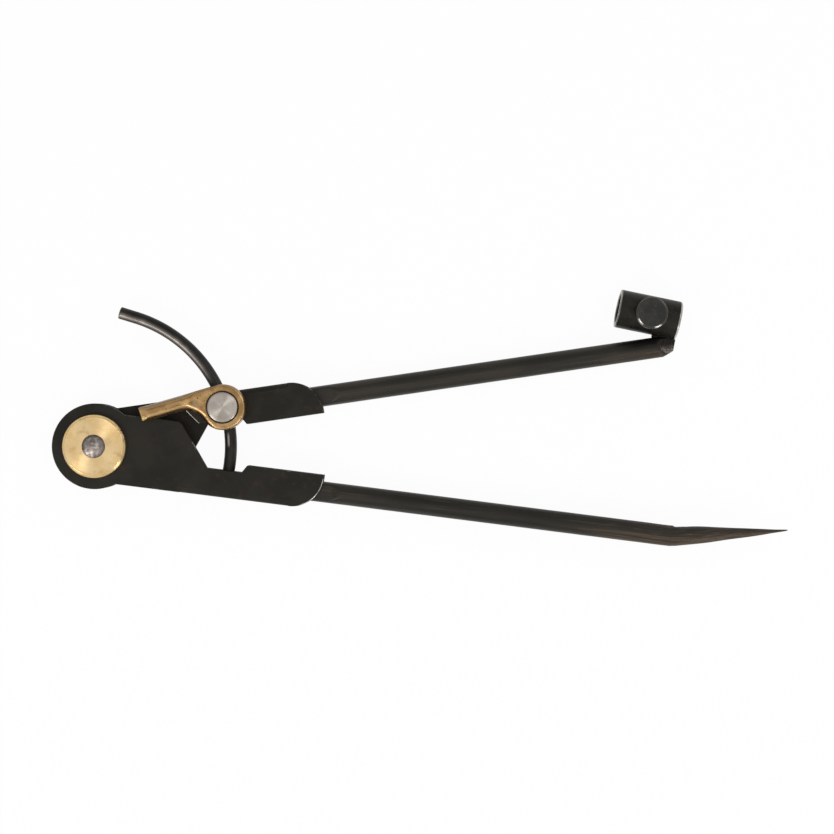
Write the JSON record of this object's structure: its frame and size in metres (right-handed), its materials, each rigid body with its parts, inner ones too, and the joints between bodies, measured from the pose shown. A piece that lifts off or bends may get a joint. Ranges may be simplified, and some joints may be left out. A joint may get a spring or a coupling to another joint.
{
  "type": "pencil compass",
  "caption": "Blackened steel quadrant compass with a spike leg, a pencil sleeve leg, a riveted pivot and a brass lever that clamps the curved rod.",
  "frame": {"origin": "on the pivot axis, at the back face of the rear washer and the rivet's flush head", "axes": "+X between the legs towards the points, +Y towards the pencil leg, +Z along the pivot to the front"},
  "size_m": [0.2105, 0.0739, 0.0155],
  "materials": {
    "black_steel": "blackened, satin",
    "plain_steel": "dull",
    "rivet_steel": "turned",
    "pale_brass": "turned, bright",
    "cast_brass": "cast, tarnished"
  },
  "bodies": {
    "spike_leg": {"spike_leg_channel": "black_steel", "spike_leg_bar": "black_steel", "pivot_rivet": "rivet_steel", "front_washer": "pale_brass", "rear_washer": "pale_brass", "head_spacer": "plain_steel", "quadrant_rod": "black_steel"},
    "pencil_leg": {"pencil_leg_channel": "black_steel", "pencil_leg_bar": "black_steel", "pencil_sleeve": "black_steel", "sleeve_weld": "plain_steel", "pencil_screw_boss": "black_steel"},
    "clamp_lever": {"clamp_lever": "cast_brass", "clamp_nut": "rivet_steel"},
    "clamp_stud": {"clamp_stud": "plain_steel"},
    "screw_shank": {"pencil_screw_shank": "plain_steel"},
    "screw_head": {"pencil_screw_head": "black_steel"}
  },
  "joints": [
    {"name": "leg_opening", "type": "hinge", "parent": "spike_leg", "child": "pencil_leg", "pos_m": [0, 0, 0.0055], "axis": [0, 0, 1], "range_deg": [-15.2, 54]},
    {"name": "lever_turn", "type": "hinge", "parent": "pencil_leg", "child": "clamp_lever", "pos_m": [0.03706, 0.0108, 0.0055], "axis": [0, 0, 1], "range_deg": [0, 120]},
    {"name": "stud_slide", "type": "slide", "parent": "pencil_leg", "child": "clamp_stud", "axis": [0, 0, 1], "range_m": [-0.00027, 0]},
    {"name": "screw_slide", "type": "slide", "parent": "pencil_leg", "child": "screw_shank", "axis": [0, 0, 1], "range_m": [-0.0014, 0]},
    {"name": "screw_turn", "type": "hinge", "parent": "screw_shank", "child": "screw_head", "pos_m": [0.15881, 0.03628, 0.0055], "axis": [0, 0, 1], "range_deg": [-721, 0]}
  ],
  "couplings": [
    {"joint": "stud_slide", "follows": "lever_turn", "m_per_rad": -0.00012732},
    {"joint": "screw_turn", "follows": "screw_slide", "rad_per_m": 8976}
  ]
}
